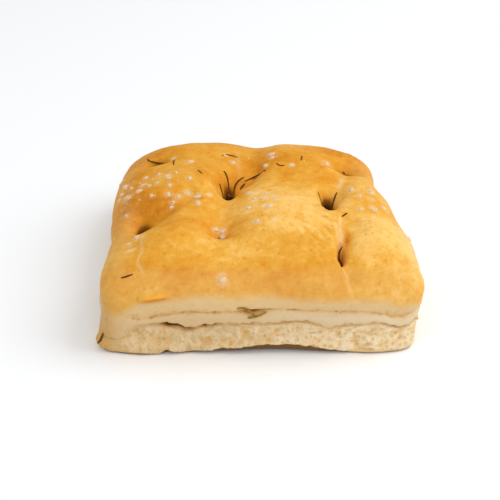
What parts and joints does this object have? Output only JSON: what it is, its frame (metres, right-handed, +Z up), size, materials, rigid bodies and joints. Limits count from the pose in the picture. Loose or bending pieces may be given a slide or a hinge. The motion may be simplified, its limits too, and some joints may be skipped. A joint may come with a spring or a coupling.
{
  "type": "focaccia",
  "caption": "Small square focaccia with a dimpled golden crust, pale split sides, coarse salt and rosemary needles.",
  "frame": {"origin": "middle of the underside, where the loaf rests on the table", "axes": "+Z up out of the dimpled crust, +X to the right and +Y to the back, with the arched front edge at -Y"},
  "size_m": [0.124, 0.1252, 0.0413],
  "materials": {
    "crust": "baked golden crust, soft satin, paling to cream on the sides",
    "salt": "cloudy white crystals",
    "rosemary": "dry dark brown-green needles"
  },
  "bodies": {
    "root": {"focaccia": "crust"}
  },
  "joints": []
}
